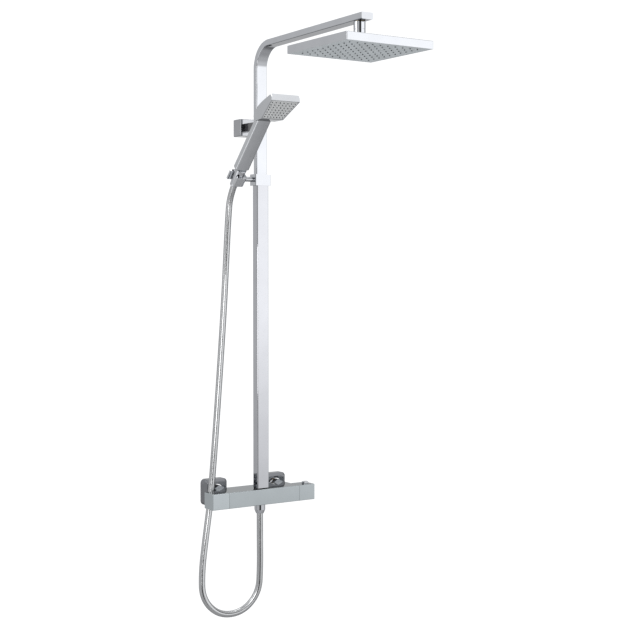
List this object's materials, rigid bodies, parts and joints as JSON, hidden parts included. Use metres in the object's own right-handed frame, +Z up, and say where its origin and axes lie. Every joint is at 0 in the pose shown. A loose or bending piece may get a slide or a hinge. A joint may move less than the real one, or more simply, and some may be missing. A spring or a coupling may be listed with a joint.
{
  "type": "thermostatic shower column",
  "caption": "Wall-mounted bar mixer with a telescopic square riser, an arm with a square rain head on a ball joint, and a hand shower in a tilting holder on a metal hose.",
  "frame": {"origin": "midway between the two pipe sockets, on the wall plane", "axes": "+X along the bar valve to the user's right, +Y into the wall, +Z up the riser"},
  "size_m": [0.2666, 0.5444, 1.2328],
  "materials": {
    "brass": "machined brass",
    "ceramic": "lapped ceramic",
    "chrome": "polished chrome plate",
    "dark_plastic": "moulded plastic",
    "hose": "interlocked metal sheath over a rubber tube",
    "plastic": "moulded plastic",
    "plated_plastic": "chrome plated plastic",
    "rubber": "soft rubber",
    "silicone": "soft silicone",
    "steel": "stainless steel"
  },
  "bodies": {
    "column": {"valve_body": "chrome", "riser_lower_tube": "chrome", "slide_collar": "chrome", "wall_flanges": "chrome", "inlet_connectors": "brass", "union_nuts": "chrome", "inlet_filter_washers": "rubber", "check_valves": "plastic", "thermostatic_cartridge": "brass", "shuttle_spring": "steel", "flow_cartridge": "brass", "ceramic_disc_fixed": "ceramic", "cartridge_nuts": "brass", "hose_outlet_nipple": "brass", "riser_base_gasket": "rubber", "riser_spigot": "brass", "riser_spigot_rings": "rubber", "riser_fixing_screw": "steel", "telescope_bush": "plastic", "collar_screw": "steel", "holder_pivot_pin": "chrome", "holder_friction_ring": "rubber", "shower_hose": "hose", "hose_cone_nut": "chrome", "hose_washer": "rubber"},
    "mixing_shuttle": {"mixing_shuttle": "plastic", "thermostat_element": "steel"},
    "temperature_knob": {"temperature_knob": "chrome", "temperature_knob_screw": "steel", "temperature_spindle": "brass", "button_spring": "steel"},
    "safety_button": {"temperature_button": "plated_plastic"},
    "flow_knob": {"flow_knob": "chrome", "flow_knob_screw": "steel", "flow_spindle": "brass", "ceramic_disc_moving": "ceramic"},
    "upper_riser": {"riser_upper_tube": "chrome", "arm_end_cap": "chrome", "telescope_piston": "plastic", "telescope_rings": "rubber", "arm_nipple": "brass", "swivel_nut": "chrome", "bracket_stem": "chrome", "bracket_cover": "chrome", "bracket_wall_plate": "steel", "bracket_screws": "steel", "bracket_cover_screw": "steel"},
    "ball_liner": {"ball_liner": "plastic"},
    "ball_stud": {"ball_stud": "steel"},
    "rain_head": {"rain_head_shell": "chrome", "rain_head_plate": "chrome", "rain_head_nozzles": "silicone", "rain_head_gasket": "rubber"},
    "holder": {"holder_cup": "plated_plastic", "holder_screw": "steel"},
    "hand_shower": {"handset_body": "plated_plastic", "handset_face_plate": "dark_plastic", "handset_nozzles": "silicone", "handset_cone_nut": "chrome", "handset_washer": "rubber"}
  },
  "joints": [
    {"name": "flow_turn", "type": "hinge", "parent": "column", "child": "flow_knob", "pos_m": [-0.108, -0.0803, -0.0065], "axis": [1, 0, 0], "range_deg": [-90, 90]},
    {"name": "temperature_turn", "type": "hinge", "parent": "column", "child": "temperature_knob", "pos_m": [0.108, -0.0803, -0.0065], "axis": [1, 0, 0], "range_deg": [-130, 60]},
    {"name": "button_press", "type": "slide", "parent": "temperature_knob", "child": "safety_button", "axis": [0, 0, -1], "range_m": [0, 0.0025], "stiffness_N_per_m": 400, "springref_m": -0.003, "deforming": ["button_spring"]},
    {"name": "shuttle_slide", "type": "slide", "parent": "column", "child": "mixing_shuttle", "axis": [1, 0, 0], "range_m": [-0.00056, 0.00026], "deforming": ["shuttle_spring"]},
    {"name": "riser_extend", "type": "slide", "parent": "column", "child": "upper_riser", "axis": [0, 0, 1], "range_m": [-0.08, 0.15]},
    {"name": "ball_tilt_x", "type": "hinge", "parent": "upper_riser", "child": "ball_liner", "pos_m": [0, -0.4444, 0.9385], "axis": [1, 0, 0], "range_deg": [-12, 12]},
    {"name": "ball_tilt_y", "type": "hinge", "parent": "ball_liner", "child": "ball_stud", "pos_m": [0, -0.4444, 0.9385], "axis": [0, 1, 0], "range_deg": [-12, 12]},
    {"name": "head_spin", "type": "hinge", "parent": "ball_stud", "child": "rain_head", "pos_m": [0, -0.4444, 0.9385], "axis": [0, 0, 1], "continuous": true},
    {"name": "holder_tilt", "type": "hinge", "parent": "column", "child": "holder", "pos_m": [-0.0565, -0.082, 0.6735], "axis": [1, 0, 0], "range_deg": [-40, 25], "deforming": ["shower_hose"]},
    {"name": "hand_shower_lift", "type": "slide", "parent": "holder", "child": "hand_shower", "axis": [0, -0.6884, 0.7254], "range_m": [0, 0.03]}
  ],
  "couplings": [
    {"joint": "shuttle_slide", "follows": "temperature_turn", "m_per_rad": 0.00024}
  ]
}
